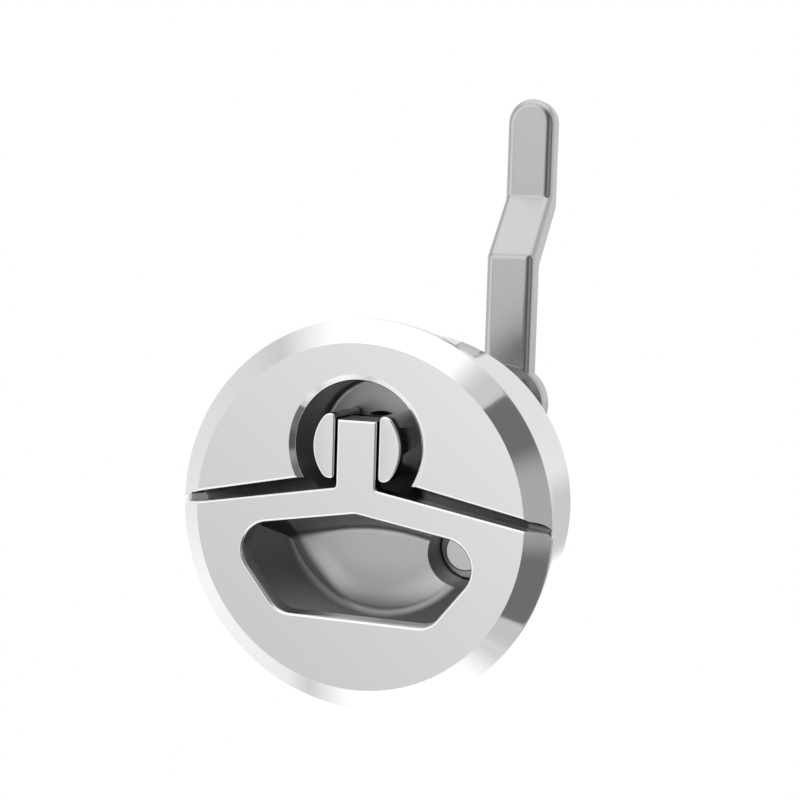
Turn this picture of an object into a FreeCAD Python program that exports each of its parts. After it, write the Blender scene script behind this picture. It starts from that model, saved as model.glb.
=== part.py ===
import FreeCAD, Part
import math
import os

import Sketcher

doc = FreeCAD.newDocument("flush_lift_ring")
sizes = doc.addObject("Spreadsheet::Sheet", "Sizes")

# Every driving size in millimetres or degrees. Depths are measured back from the front face.
SIZES = [
    ("rim_radius", 38.0, "outer radius of the round front"),
    ("bevel_width", 4.5, "radial width of the bevel round the front"),
    ("bevel_depth", 3.4, "depth of that bevel"),
    ("flange_thickness", 5.5, "front face to the back of the flange"),
    ("gasket_thickness", 1.0, "gasket between the flange and the panel"),
    ("gasket_width", 2.6, "radial width of the gasket"),
    ("gasket_play", 0.2, "gasket to barrel"),
    ("barrel_radius", 34.4, "plain barrel that fills the panel hole"),
    ("barrel_length", 28.0, "barrel behind the flange"),
    ("barrel_edge", 0.8, "chamfer at the back of the barrel"),
    ("barrel_wall", 3.0, "wall left round the hollow back"),
    ("floor_depth", 14.4, "front face to the floor of the finger bowl"),
    ("floor_thickness", 3.6, "floor of the bowl"),
    ("seat_depth", 4.3, "ledge that carries the lift ring"),
    ("seat_play", 0.1, "ring to ledge"),
    ("bowl_radius", 33.0, "finger bowl at the ledge"),
    ("bowl_floor_radius", 21.4, "flat floor of the bowl"),
    ("bowl_floor_round", 2.2, "blend from the bowl's sloping wall to its floor"),
    ("bowl_apex_round", 60.0, "sloping wall under the apex of the split"),
    ("split_reach", 9.5, "set-in of the sloping wall under the split from ledge to floor"),
    ("split_peak", 9.25, "apex of the flange's split edge above the centre"),
    ("split_slope", 11.5, "fall of that edge to both sides"),
    ("split_edge", 0.65, "rounding along the flange's split edge"),
    ("ledge_round", 3.0, "blend between the split wall and the ledge"),
    ("spindle_height", 13.6, "spindle axis above the centre"),
    ("keyhole_radius", 12.8, "round pocket about the spindle head"),
    ("keyhole_edge", 1.2, "chamfer of that pocket at the face, measured on the face"),
    ("keyhole_edge_depth", 0.8, "depth of that chamfer"),
    ("keyhole_lip", 0.4, "rounding under that chamfer"),
    ("keyhole_floor_round", 1.0, "rounding of that pocket at its floor"),
    ("hub_radius", 10.0, "bearing hub round the spindle"),
    ("journal_radius", 5.0, "spindle in its hub"),
    ("journal_play", 0.05, "spindle to hub, on the radius"),
    ("journal_relief", 0.2, "journal ends before the back of the hub"),
    ("thread_radius", 4.0, "threaded tail of the spindle"),
    ("plug_across", 16.6, "lock bore to the right of the centre"),
    ("plug_drop", 8.1, "lock bore below the centre"),
    ("plug_bore_radius", 6.4, "lock bore at the bowl's floor"),
    ("plug_seat_depth", 24.6, "shoulder inside the lock bore"),
    ("plug_flange_thickness", 2.0, "flange of the blanking plug"),
    ("plug_gap", 0.3, "gap round that flange"),
    ("plug_head_radius", 4.0, "raised head of the blanking plug"),
    ("plug_head_height", 4.1, "head above its flange"),
    ("plug_shank_radius", 3.5, "shank of the blanking plug"),
    ("plug_shank_play", 0.02, "shank to its hole"),
    ("plug_boss_radius", 9.2, "boss behind the lock bore"),
    ("plug_boss_depth", 29.5, "front face to the end of that boss"),
    ("fixing_circle", 27.0, "radius of the circle of fixing holes"),
    ("fixing_radius", 2.1, "tapping hole for a fixing screw"),
    ("fixing_depth", 11.0, "depth of a fixing hole"),
    ("fixing_boss_radius", 5.2, "boss round a fixing hole"),
    ("ring_peak", 6.42, "apex of the ring's split edge above the centre"),
    ("ring_slope", 10.0, "fall of that edge to both sides"),
    ("ring_edge", 0.48, "rounding of the ring's edges"),
    ("ring_back_edge", 1.1, "rounding of the ring's back along the split"),
    ("ring_corner", 1.2, "corner of the ring where the split meets the rim"),
    ("tab_width", 8.1, "tab of the ring between the spindle's ears"),
    ("tab_rise", 5.25, "top of the tab above the spindle axis"),
    ("tab_corner", 0.6, "inner corner between tab and ring"),
    ("tab_root", 8.0, "height where the tab's back meets the ring"),
    ("hole_peak", 0.7, "apex of the finger hole above the centre"),
    ("hole_slope", 9.4, "fall of the finger hole's top edges"),
    ("hole_half_width", 28.2, "finger hole's sharp side corner from the middle"),
    ("hole_foot_width", 15.6, "finger hole's sharp lower corner from the middle"),
    ("hole_foot", 19.8, "lower edge of the finger hole below the centre"),
    ("hole_side_round", 5.6, "side corners of the finger hole"),
    ("hole_foot_round", 5.0, "lower corners of the finger hole"),
    ("hole_peak_round", 4.0, "apex of the finger hole"),
    ("hole_edge", 0.6, "rounding of the finger hole at the face"),
    ("ear_radius", 9.0, "round outside of the spindle's ears"),
    ("ear_rise", 6.35, "flats on the ears above and below the axis"),
    ("ear_depth", 13.2, "front face to the back of the ears"),
    ("ear_corner", 2.0, "corner between an ear's round side and its flats"),
    ("ear_slot_corner", 0.9, "corner between an ear's flats and the slot"),
    ("ear_edge", 0.45, "rounding of the ears at the face"),
    ("slot_play", 0.45, "tab to ear on each side"),
    ("bridge_thickness", 1.8, "web that joins the ears behind the slot"),
    ("collar_radius", 5.9, "thrust collar behind the ears"),
    ("collar_play", 0.05, "collar to the bowl's floor"),
    ("pin_depth", 7.6, "hinge pin behind the front face"),
    ("pin_rise", 1.8, "hinge pin above the spindle axis"),
    ("pin_radius", 2.0, "hinge pin"),
    ("pin_play", 0.05, "tab's bore to the pin, on the radius"),
    ("pin_grip", 0.02, "pin ends ground off below the ears' round side"),
    ("pin_seat_play", 0.005, "ears' bores to the pin, on the radius"),
    ("seal_section", 1.4, "thickness of a spindle seal"),
    ("seal_front_depth", 18.6, "front spindle seal behind the face"),
    ("seal_back_depth", 29.4, "back spindle seal behind the face"),
    ("seal_groove_play", 0.2, "seal to each side of its groove"),
    ("seal_play", 0.01, "seal to groove and hub, on the radius"),
    ("thrust_radius", 9.5, "thrust washer behind the hub"),
    ("thrust_thickness", 1.2, "thrust washer"),
    ("thrust_bore_play", 0.15, "washers to spindle, on the radius"),
    ("disc_spring_radius", 8.0, "disc spring"),
    ("disc_spring_thickness", 0.9, "sheet of the disc spring"),
    ("disc_spring_rise", 0.35, "height of its cone"),
    ("thin_washer_radius", 8.0, "washer under the spindle nut"),
    ("thin_washer_thickness", 1.6, "that washer"),
    ("nut_flats", 13.0, "across the flats of every nut"),
    ("nut_chamfer", 30.0, "angle of the nut's corner chamfer"),
    ("thin_nut_thickness", 4.0, "spindle nut and its lock nut"),
    ("full_nut_thickness", 6.5, "nuts that clamp the arm"),
    ("thread_play", 0.02, "nut bore to spindle, on the radius"),
    ("arm_depth", 101.75, "front face to the front of the arm's foot"),
    ("arm_thickness", 6.5, "bar of the arm"),
    ("arm_width", 12.3, "width of the arm's bar"),
    ("arm_joggle", 15.0, "set-back of the arm's upper part"),
    ("arm_bend_low", 51.3, "lower bend above the centre"),
    ("arm_bend_high", 66.5, "upper bend above the centre"),
    ("arm_tip", 91.6, "end of the arm above the centre"),
    ("arm_eye_radius", 10.0, "round foot of the arm"),
    ("arm_edge", 2.1, "rounding along the arm's front"),
    ("arm_back_edge", 0.6, "rounding along the arm's back"),
    ("arm_bend_outside", 2.6, "outside of the arm's bends"),
    ("arm_bend_inside", 1.0, "inside of the arm's bends"),
    ("flat_rise", 3.25, "flats that key the arm to the spindle"),
    ("flat_lead", 2.0, "start of those flats before the front arm nut"),
    ("flat_play", 0.05, "arm to those flats"),
    ("arm_washer_radius", 10.1, "washer in front of the arm"),
    ("arm_washer_thickness", 1.0, "that washer"),
    ("spring_washer_radius", 7.4, "split washer under the back nut"),
    ("spring_washer_thickness", 2.0, "that washer"),
    ("spring_washer_gap", 1.2, "its split"),
    ("thread_end", 2.0, "spindle beyond the back nut"),
    ("thread_chamfer", 0.9, "chamfer at the spindle's end"),
]
for row, (alias, value, note) in enumerate(SIZES, start=1):
    sizes.set(f"A{row}", note)
    sizes.set(f"B{row}", str(value))
    sizes.setAlias(f"B{row}", alias)
doc.recompute()

# Places along the local z axis, which points out of the panel. The panel's surface is z = 0.
FACE = "(Sizes.flange_thickness + Sizes.gasket_thickness)"
FLANGE_BACK = "Sizes.gasket_thickness"
BARREL_BACK = "(Sizes.gasket_thickness - Sizes.barrel_length)"
FLOOR = f"({FACE} - Sizes.floor_depth)"
SEAT = f"({FACE} - Sizes.seat_depth)"
HOLLOW = f"({FLOOR} - Sizes.floor_thickness)"
AXIS = "Sizes.spindle_height"
EAR_BACK = f"({FACE} - Sizes.ear_depth)"
PIN_Z = f"({FACE} - Sizes.pin_depth)"
PIN_Y = "(Sizes.spindle_height + Sizes.pin_rise)"
TAB_TOP = "(Sizes.spindle_height + Sizes.tab_rise)"
PLUG_X = "Sizes.plug_across"
PLUG_Y = "(-Sizes.plug_drop)"
PLUG_SEAT = f"({FACE} - Sizes.plug_seat_depth)"
THRUST_BACK = f"({BARREL_BACK} - Sizes.thrust_thickness)"
SPRING_BACK = f"({THRUST_BACK} - Sizes.disc_spring_thickness - Sizes.disc_spring_rise)"
THIN_WASHER_BACK = f"({SPRING_BACK} - Sizes.thin_washer_thickness)"
SPINDLE_NUT_BACK = f"({THIN_WASHER_BACK} - Sizes.thin_nut_thickness)"
LOCK_NUT_BACK = f"({SPINDLE_NUT_BACK} - Sizes.thin_nut_thickness)"
ARM_FRONT = f"({FACE} - Sizes.arm_depth)"
FRONT_WASHER = f"({ARM_FRONT} + Sizes.arm_washer_thickness)"
FRONT_NUT = f"({FRONT_WASHER} + Sizes.full_nut_thickness)"
ARM_BACK = f"({ARM_FRONT} - Sizes.arm_thickness)"
SPRING_WASHER = f"({ARM_BACK} - Sizes.spring_washer_thickness)"
BACK_NUT = f"({SPRING_WASHER} - Sizes.full_nut_thickness)"
SPINDLE_END = f"({BACK_NUT} - Sizes.thread_end)"
REACH = "(2 * Sizes.rim_radius)"

ACROSS = FreeCAD.Rotation(FreeCAD.Vector(0, 1, 0), 90)
UPRIGHT = FreeCAD.Rotation(FreeCAD.Vector(1, 0, 0), 90)
TOLERANCE = 0.01


def size(alias):
    """The number that stands in the sheet under an alias."""
    return float(sizes.get(alias))


def bind(target, **expressions):
    for name, text in expressions.items():
        target.setExpression(name, text)
    return target


def put(target, across="0", up="0", out="0", turned=None):
    """Places an object by expressions, with a fixed turn."""
    if turned is not None:
        target.Placement = FreeCAD.Placement(FreeCAD.Vector(0, 0, 0), turned)
    target.setExpression(".Placement.Base.x", across)
    target.setExpression(".Placement.Base.y", up)
    target.setExpression(".Placement.Base.z", out)
    return target


def cylinder(name, radius, height, across="0", up="0", out="0", turned=None):
    """A round rod from its start towards +z, or towards +x where it is turned across."""
    rod = doc.addObject("Part::Cylinder", name)
    bind(rod, Radius=radius, Height=height)
    return put(rod, across, up, out, turned)


def box(name, length, width, height, across="0", up="0", out="0"):
    block = doc.addObject("Part::Box", name)
    bind(block, Length=length, Width=width, Height=height)
    return put(block, across, up, out)


def fuse(name, pieces):
    joined = doc.addObject("Part::MultiFuse", name)
    joined.Shapes = pieces
    return joined


def common(name, pieces):
    shared = doc.addObject("Part::MultiCommon", name)
    shared.Shapes = pieces
    return shared


def cut(name, base, tools):
    """The base less its tools."""
    result = doc.addObject("Part::Cut", name)
    result.Base = base
    result.Tool = tools[0] if len(tools) == 1 else fuse(name + "_tools", tools)
    return result


def plane(body, role):
    return next(item for item in body.Origin.OriginFeatures if item.Role == role)


def sketch(body, name, role, offset="0"):
    """An empty sketch on one of a body's own planes, moved along that plane's normal."""
    drawn = body.newObject("Sketcher::SketchObject", name)
    drawn.AttachmentSupport = [(plane(body, role), "")]
    drawn.MapMode = "FlatFace"
    drawn.setExpression(".AttachmentOffset.Base.z", offset)
    return drawn


def fix_point(drawn, item, end, place):
    """Binds a point of a sketch to the sheet, from the place where it was drawn."""
    point = drawn.getPoint(item, end)
    for kind, value, text in zip(("DistanceX", "DistanceY"), (point.x, point.y), place):
        number = drawn.addConstraint(Sketcher.Constraint(kind, -1, 1, item, end, value))
        drawn.setExpression(f"Constraints[{number}]", text)


def polygon(drawn, points):
    """A closed outline of straight lines whose corners are bound to the sheet."""
    count = len(points)
    first = drawn.GeometryCount
    ring = []
    for index in range(count):
        angle = -2 * math.pi * index / count
        ring.append(FreeCAD.Vector(10 * math.cos(angle), 10 * math.sin(angle), 0))
    for index in range(count):
        drawn.addGeometry(Part.LineSegment(ring[index], ring[(index + 1) % count]), False)
    for index in range(count):
        following = first + (index + 1) % count
        drawn.addConstraint(Sketcher.Constraint("Coincident", first + index, 2, following, 1))
    for index, corner in enumerate(points):
        fix_point(drawn, first + index, 1, corner)
    return drawn


def circle(drawn, radius, across="0", up="0"):
    number = drawn.addGeometry(Part.Circle(FreeCAD.Vector(1, 1, 0), FreeCAD.Vector(0, 0, 1), 3), False)
    fix_point(drawn, number, 3, (across, up))
    constraint = drawn.addConstraint(Sketcher.Constraint("Radius", number, 3.0))
    drawn.setExpression(f"Constraints[{constraint}]", radius)
    return drawn


def revolve(body, name, profile):
    """A full turn of a profile about the body's z axis."""
    turned = body.newObject("PartDesign::Revolution", name)
    turned.Profile = (profile, [""])
    turned.ReferenceAxis = (profile, ["V_Axis"])
    turned.Angle = 360
    body.Tip = turned
    return turned


def pocket(body, name, profile, length=None, symmetric=False, backwards=False):
    """Cuts a profile out of its body: all through, or to a bound length."""
    opening = body.newObject("PartDesign::Pocket", name)
    opening.Profile = (profile, [""])
    opening.SideType = "Symmetric" if symmetric else "One side"
    opening.Reversed = backwards
    if length is None:
        opening.Type = "ThroughAll"
    else:
        opening.setExpression("Length", length)
    body.Tip = opening
    return opening


def pad(body, name, profile, length, symmetric=False, backwards=False):
    block = body.newObject("PartDesign::Pad", name)
    block.Profile = (profile, [""])
    block.SideType = "Symmetric" if symmetric else "One side"
    block.Reversed = backwards
    block.setExpression("Length", length)
    body.Tip = block
    return block


def edges_where(shape, wanted):
    return [f"Edge{number}" for number, edge in enumerate(shape.Edges, start=1) if wanted(edge)]


def dress(body, kind, name, wanted, **expressions):
    """A fillet or chamfer on the edges of the body's tip that a test picks."""
    doc.recompute()
    base = body.Tip
    names = edges_where(base.Shape, wanted)
    if not names:
        raise ValueError(f"{name}: no edge fits on {base.Name}, {base.State}")
    feature = body.newObject(f"PartDesign::{kind}", name)
    feature.Base = (base, names)
    bind(feature, **expressions)
    body.Tip = feature
    doc.recompute()
    return feature


def new_body(name):
    return doc.addObject("PartDesign::Body", name)


def body_from(name, base):
    """A body that goes on from a finished boolean."""
    body = new_body(name)
    body.BaseFeature = base
    doc.recompute()
    return body


def level(edge, z):
    """Whether an edge lies flat at a height."""
    bounds = edge.BoundBox
    return abs(bounds.ZMin - z) < TOLERANCE and abs(bounds.ZMax - z) < TOLERANCE


def upright(edge):
    """Whether a straight edge runs along z."""
    bounds = edge.BoundBox
    return bounds.XLength < TOLERANCE and bounds.YLength < TOLERANCE and bounds.ZLength > TOLERANCE


def round_edge(edge, radius):
    return hasattr(edge.Curve, "Radius") and abs(edge.Curve.Radius - radius) < TOLERANCE


face_z = size("flange_thickness") + size("gasket_thickness")
floor_z = face_z - size("floor_depth")
seat_z = face_z - size("seat_depth")
barrel_back_z = size("gasket_thickness") - size("barrel_length")
PIECES = {}


def keep(node, piece, up="0"):
    """Names a finished sub-part and stands it up in the part's frame, at a height above the centre."""
    piece.Label = node
    piece.Placement = FreeCAD.Placement(FreeCAD.Vector(0, 0, 0), UPRIGHT)
    piece.setExpression(".Placement.Base.z", up)
    PIECES[node] = piece


def split_outline(drawn, peak, slope, above=False, reach=REACH):
    """The area under, or over, an edge that falls from an apex to both sides."""
    side = f"{peak} - {reach} * tan({slope} * 1 deg)"
    far = reach if above else f"-{reach}"
    return polygon(drawn, [(f"-{reach}", side), ("0", peak), (reach, side), (reach, far), (f"-{reach}", far)])


def split_foot(edge, z):
    """Whether an edge lies along the split line at a height."""
    bounds = edge.BoundBox
    return level(edge, z) and bounds.XLength > 10 and 1 < bounds.YLength < bounds.XLength


# Cup and flange, one casting
def make_body():
    barrel = cylinder("barrel", "Sizes.barrel_radius", "Sizes.barrel_length", out=BARREL_BACK)
    band = cylinder("flange_band", "Sizes.rim_radius", "Sizes.flange_thickness - Sizes.bevel_depth",
                    out=FLANGE_BACK)
    bevel = doc.addObject("Part::Cone", "flange_bevel")
    bind(bevel, Radius1="Sizes.rim_radius", Radius2="Sizes.rim_radius - Sizes.bevel_width",
         Height="Sizes.bevel_depth")
    put(bevel, out=f"{FACE} - Sizes.bevel_depth")
    blank = fuse("cup_blank", [barrel, band, bevel])

    seat = new_body("seat_recess")
    outline = split_outline(sketch(seat, "seat_outline", "XY_Plane", SEAT), "Sizes.split_peak",
                            "Sizes.split_slope")
    pad(seat, "seat_pad", outline, "Sizes.seat_depth")
    dress(seat, "Fillet", "seat_blend", lambda edge: split_foot(edge, seat_z), Radius="Sizes.ledge_round")
    keyhole = make_keyhole_tool()
    bowl = make_bowl_tool()
    hollow = make_hollow_tool()
    bore = cylinder("spindle_bore", "Sizes.journal_radius + Sizes.journal_play",
                    "Sizes.barrel_length + Sizes.floor_depth", up=AXIS, out=BARREL_BACK)
    lock_bore = cylinder("lock_bore", "Sizes.plug_bore_radius", "Sizes.plug_seat_depth", PLUG_X, PLUG_Y,
                         PLUG_SEAT)
    shank_bore = cylinder("shank_bore", "Sizes.plug_shank_radius + Sizes.plug_shank_play",
                          "Sizes.barrel_length", PLUG_X, PLUG_Y, BARREL_BACK)
    tools = [seat, keyhole, bowl, hollow, bore, lock_bore, shank_bore]
    for number, (right, high) in enumerate(((1, 1), (-1, 1), (-1, -1), (1, -1)), start=1):
        tools.append(cylinder(f"fixing_hole_{number}", "Sizes.fixing_radius", "Sizes.fixing_depth",
                              f"{right} * Sizes.fixing_circle * sqrt(0.5)",
                              f"{high} * Sizes.fixing_circle * sqrt(0.5)", BARREL_BACK))
    body = body_from("cup", cut("cup_cut", blank, tools))

    rim = size("rim_radius")

    def split_edge(edge):
        middle = edge.CenterOfMass
        straight = isinstance(edge.Curve, Part.Line)
        return straight and level(edge, face_z) and abs(middle.x) < rim and edge.Length > 5

    dress(body, "Fillet", "split_rounding", split_edge, Radius="Sizes.split_edge")
    dress(body, "Chamfer", "barrel_chamfer",
          lambda edge: level(edge, barrel_back_z) and round_edge(edge, size("barrel_radius")),
          Size="Sizes.barrel_edge")
    keep("body", body)


def make_keyhole_tool():
    """The round pocket about the spindle head, chamfered at the face and rounded at its floor."""
    tool = new_body("keyhole_tool")
    drawn = sketch(tool, "keyhole_section", "XZ_Plane")
    polygon(drawn, [("0", FLOOR), ("Sizes.keyhole_radius", FLOOR),
                    ("Sizes.keyhole_radius", f"{FACE} - Sizes.keyhole_edge_depth"),
                    ("Sizes.keyhole_radius + Sizes.keyhole_edge", FACE), ("0", FACE)])
    revolve(tool, "keyhole_turn", drawn)
    lip_z = face_z - size("keyhole_edge_depth")
    dress(tool, "Fillet", "keyhole_lip", lambda edge: level(edge, lip_z) and edge.Length > 10,
          Radius="Sizes.keyhole_lip")
    dress(tool, "Fillet", "keyhole_floor", lambda edge: level(edge, floor_z) and edge.Length > 10,
          Radius="Sizes.keyhole_floor_round")
    put(tool, up=AXIS)
    return tool


def make_bowl_tool():
    """The finger bowl: a round dish and a wedge under the split, with sloping walls down to one floor."""
    dish = new_body("bowl_dish")
    drawn = sketch(dish, "dish_section", "XZ_Plane")
    polygon(drawn, [("0", FLOOR), ("Sizes.bowl_floor_radius", FLOOR), ("Sizes.bowl_radius", SEAT),
                    ("0", SEAT)])
    revolve(dish, "dish_turn", drawn)
    dress(dish, "Fillet", "dish_blend", lambda edge: level(edge, floor_z) and edge.Length > 10,
          Radius="Sizes.bowl_floor_round")

    depth = "(Sizes.floor_depth - Sizes.seat_depth)"
    wedge = new_body("bowl_wedge")
    outline = split_outline(sketch(wedge, "wedge_outline", "XY_Plane", SEAT),
                            "(Sizes.split_peak - Sizes.ledge_round)", "Sizes.split_slope",
                            reach="Sizes.rim_radius")
    block = pad(wedge, "wedge_pad", outline, depth, backwards=True)
    block.setExpression("TaperAngle", f"-atan(Sizes.split_reach / {depth})")
    dress(wedge, "Fillet", "wedge_apex",
          lambda edge: edge.BoundBox.XLength < TOLERANCE and edge.BoundBox.ZLength > TOLERANCE
          and abs(edge.CenterOfMass.x) < TOLERANCE, Radius="Sizes.bowl_apex_round")
    dress(wedge, "Fillet", "wedge_blend", lambda edge: split_foot(edge, floor_z),
          Radius="Sizes.bowl_floor_round")
    return common("bowl", [dish, wedge])


def make_hollow_tool():
    """The open back of the casting, which leaves the hub and the bosses standing."""
    depth = f"({HOLLOW} - {BARREL_BACK})"
    core = cylinder("hollow_core", "Sizes.barrel_radius - Sizes.barrel_wall", depth, out=BARREL_BACK)
    posts = [cylinder("hub", "Sizes.hub_radius", depth, up=AXIS, out=BARREL_BACK),
             cylinder("plug_boss", "Sizes.plug_boss_radius", "Sizes.plug_boss_depth - Sizes.floor_depth",
                      PLUG_X, PLUG_Y, f"{FACE} - Sizes.plug_boss_depth")]
    for number, (right, high) in enumerate(((1, 1), (-1, 1), (-1, -1), (1, -1)), start=1):
        posts.append(cylinder(f"fixing_boss_{number}", "Sizes.fixing_boss_radius", depth,
                              f"{right} * Sizes.fixing_circle * sqrt(0.5)",
                              f"{high} * Sizes.fixing_circle * sqrt(0.5)", BARREL_BACK))
    return cut("hollow", core, posts)


# Lift ring with its tab, one casting
RING_BACK = f"({SEAT} + Sizes.seat_play)"


def make_ring():
    plan = new_body("ring_plan")
    disc = sketch(plan, "plan_section", "XZ_Plane")
    polygon(disc, [("0", FACE), ("Sizes.rim_radius", FACE), ("Sizes.rim_radius", RING_BACK),
                   ("0", RING_BACK)])
    revolve(plan, "plan_turn", disc)
    pocket(plan, "ring_split", split_outline(sketch(plan, "ring_split_outline", "XY_Plane", FACE),
                                             "Sizes.ring_peak", "Sizes.ring_slope", above=True))
    rim = size("rim_radius")
    dress(plan, "Fillet", "rim_corners", lambda edge: upright(edge) and abs(edge.CenterOfMass.x) > rim / 2,
          Radius="Sizes.ring_corner")

    turned = new_body("ring_disc")
    section = sketch(turned, "ring_section", "XZ_Plane")
    polygon(section, [("0", FACE), ("Sizes.rim_radius - Sizes.bevel_width", FACE),
                      ("Sizes.rim_radius", f"{FACE} - Sizes.bevel_depth"), ("Sizes.rim_radius", RING_BACK),
                      ("0", RING_BACK)])
    revolve(turned, "ring_turn", section)

    ring = body_from("ring", common("ring_blank", [plan, turned]))
    tab = sketch(ring, "tab_side", "YZ_Plane")
    tab_profile(tab)
    pad(ring, "tab", tab, "Sizes.tab_width", symmetric=True)

    hole = sketch(ring, "finger_outline", "XY_Plane", FACE)
    corner = "Sizes.hole_peak - Sizes.hole_half_width * tan(Sizes.hole_slope * 1 deg)"
    polygon(hole, [("0", "Sizes.hole_peak"), ("Sizes.hole_half_width", corner),
                   ("Sizes.hole_foot_width", "-Sizes.hole_foot"),
                   ("-Sizes.hole_foot_width", "-Sizes.hole_foot"),
                   ("-Sizes.hole_half_width", corner)])
    pocket(ring, "finger_hole", hole)
    foot = size("hole_foot")
    peak = size("hole_peak")
    dress(ring, "Fillet", "hole_sides",
          lambda edge: upright(edge) and abs(edge.CenterOfMass.x) > size("hole_foot_width") + 1
          and -foot + 1 < edge.CenterOfMass.y < 0 and abs(edge.CenterOfMass.x) < size("hole_half_width") + 1,
          Radius="Sizes.hole_side_round")
    dress(ring, "Fillet", "hole_feet",
          lambda edge: upright(edge) and abs(edge.CenterOfMass.y + foot) < TOLERANCE,
          Radius="Sizes.hole_foot_round")
    dress(ring, "Fillet", "hole_apex",
          lambda edge: upright(edge) and abs(edge.CenterOfMass.y - peak) < TOLERANCE,
          Radius="Sizes.hole_peak_round")
    half_tab = size("tab_width") / 2
    dress(ring, "Fillet", "tab_corners",
          lambda edge: upright(edge) and abs(abs(edge.CenterOfMass.x) - half_tab) < TOLERANCE
          and edge.CenterOfMass.y < size("ring_peak"), Radius="Sizes.tab_corner")
    ring_back_z = seat_z + size("seat_play")

    def in_hole(edge):
        middle = edge.CenterOfMass
        return (abs(middle.x) < size("hole_half_width") and -foot - 0.5 < middle.y < peak + 0.5
                and edge.BoundBox.XLength < 1.7 * size("hole_half_width"))

    dress(ring, "Fillet", "hole_front", lambda edge: level(edge, face_z) and in_hole(edge),
          Radius="Sizes.hole_edge")
    dress(ring, "Fillet", "hole_back", lambda edge: level(edge, ring_back_z) and in_hole(edge),
          Radius="Sizes.ring_edge")
    dress(ring, "Fillet", "split_front",
          lambda edge: level(edge, face_z) and edge.CenterOfMass.y > 1.2 and not in_hole(edge),
          Radius="Sizes.ring_edge")
    dress(ring, "Fillet", "split_back",
          lambda edge: level(edge, ring_back_z) and edge.CenterOfMass.y > 1.2 and edge.Length > 10
          and not in_hole(edge), Radius="Sizes.ring_back_edge")
    bore = sketch(ring, "pin_bore_outline", "YZ_Plane")
    circle(bore, "Sizes.pin_radius + Sizes.pin_play", PIN_Y, PIN_Z)
    pocket(ring, "pin_bore", bore, "2 * Sizes.tab_width", symmetric=True)
    keep("ring", ring)


def tab_profile(drawn):
    """The tab seen from the side: flat front and top, round about the pin, sloped to the ring's back."""
    corners = ((3.4, 6), (18, 6), (18.8, -1), (12.5, -3), (8, 2.4), (3.4, 2.4))
    vectors = [FreeCAD.Vector(across, up, 0) for across, up in corners]
    front = drawn.addGeometry(Part.LineSegment(vectors[0], vectors[1]), False)
    top = drawn.addGeometry(Part.LineSegment(vectors[1], vectors[2]), False)
    whole = Part.Circle(FreeCAD.Vector(15.4, -1.1, 0), FreeCAD.Vector(0, 0, 1), 3.4)
    hub = drawn.addGeometry(Part.ArcOfCircle(whole, math.radians(215), math.radians(360)), False)
    slope = drawn.addGeometry(Part.LineSegment(vectors[3], vectors[4]), False)
    under = drawn.addGeometry(Part.LineSegment(vectors[4], vectors[5]), False)
    foot = drawn.addGeometry(Part.LineSegment(vectors[5], vectors[0]), False)
    joins = ((front, 2, top, 1), (top, 2, hub, 2), (slope, 2, under, 1), (under, 2, foot, 1),
             (foot, 2, front, 1))
    for join in joins:
        drawn.addConstraint(Sketcher.Constraint("Coincident", *join))
    drawn.addConstraint(Sketcher.Constraint("Tangent", hub, 1, slope, 1))
    root = "Sizes.ring_peak - 3"
    places = ((front, 1, (root, FACE)), (top, 1, (TAB_TOP, FACE)), (top, 2, (TAB_TOP, PIN_Z)),
              (hub, 3, (PIN_Y, PIN_Z)), (under, 1, ("Sizes.tab_root", RING_BACK)),
              (foot, 1, (root, RING_BACK)))
    for item, end, place in places:
        fix_point(drawn, item, end, place)


# Spindle, turned about its own axis
FLAT_START = f"({FRONT_NUT} + Sizes.flat_lead)"
GROOVE = "(Sizes.seal_section / 2 + Sizes.seal_groove_play)"
GROOVE_RADIUS = "(Sizes.journal_radius + Sizes.journal_play - Sizes.seal_section - 2 * Sizes.seal_play)"
JOURNAL_END = f"({BARREL_BACK} + Sizes.journal_relief)"


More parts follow.
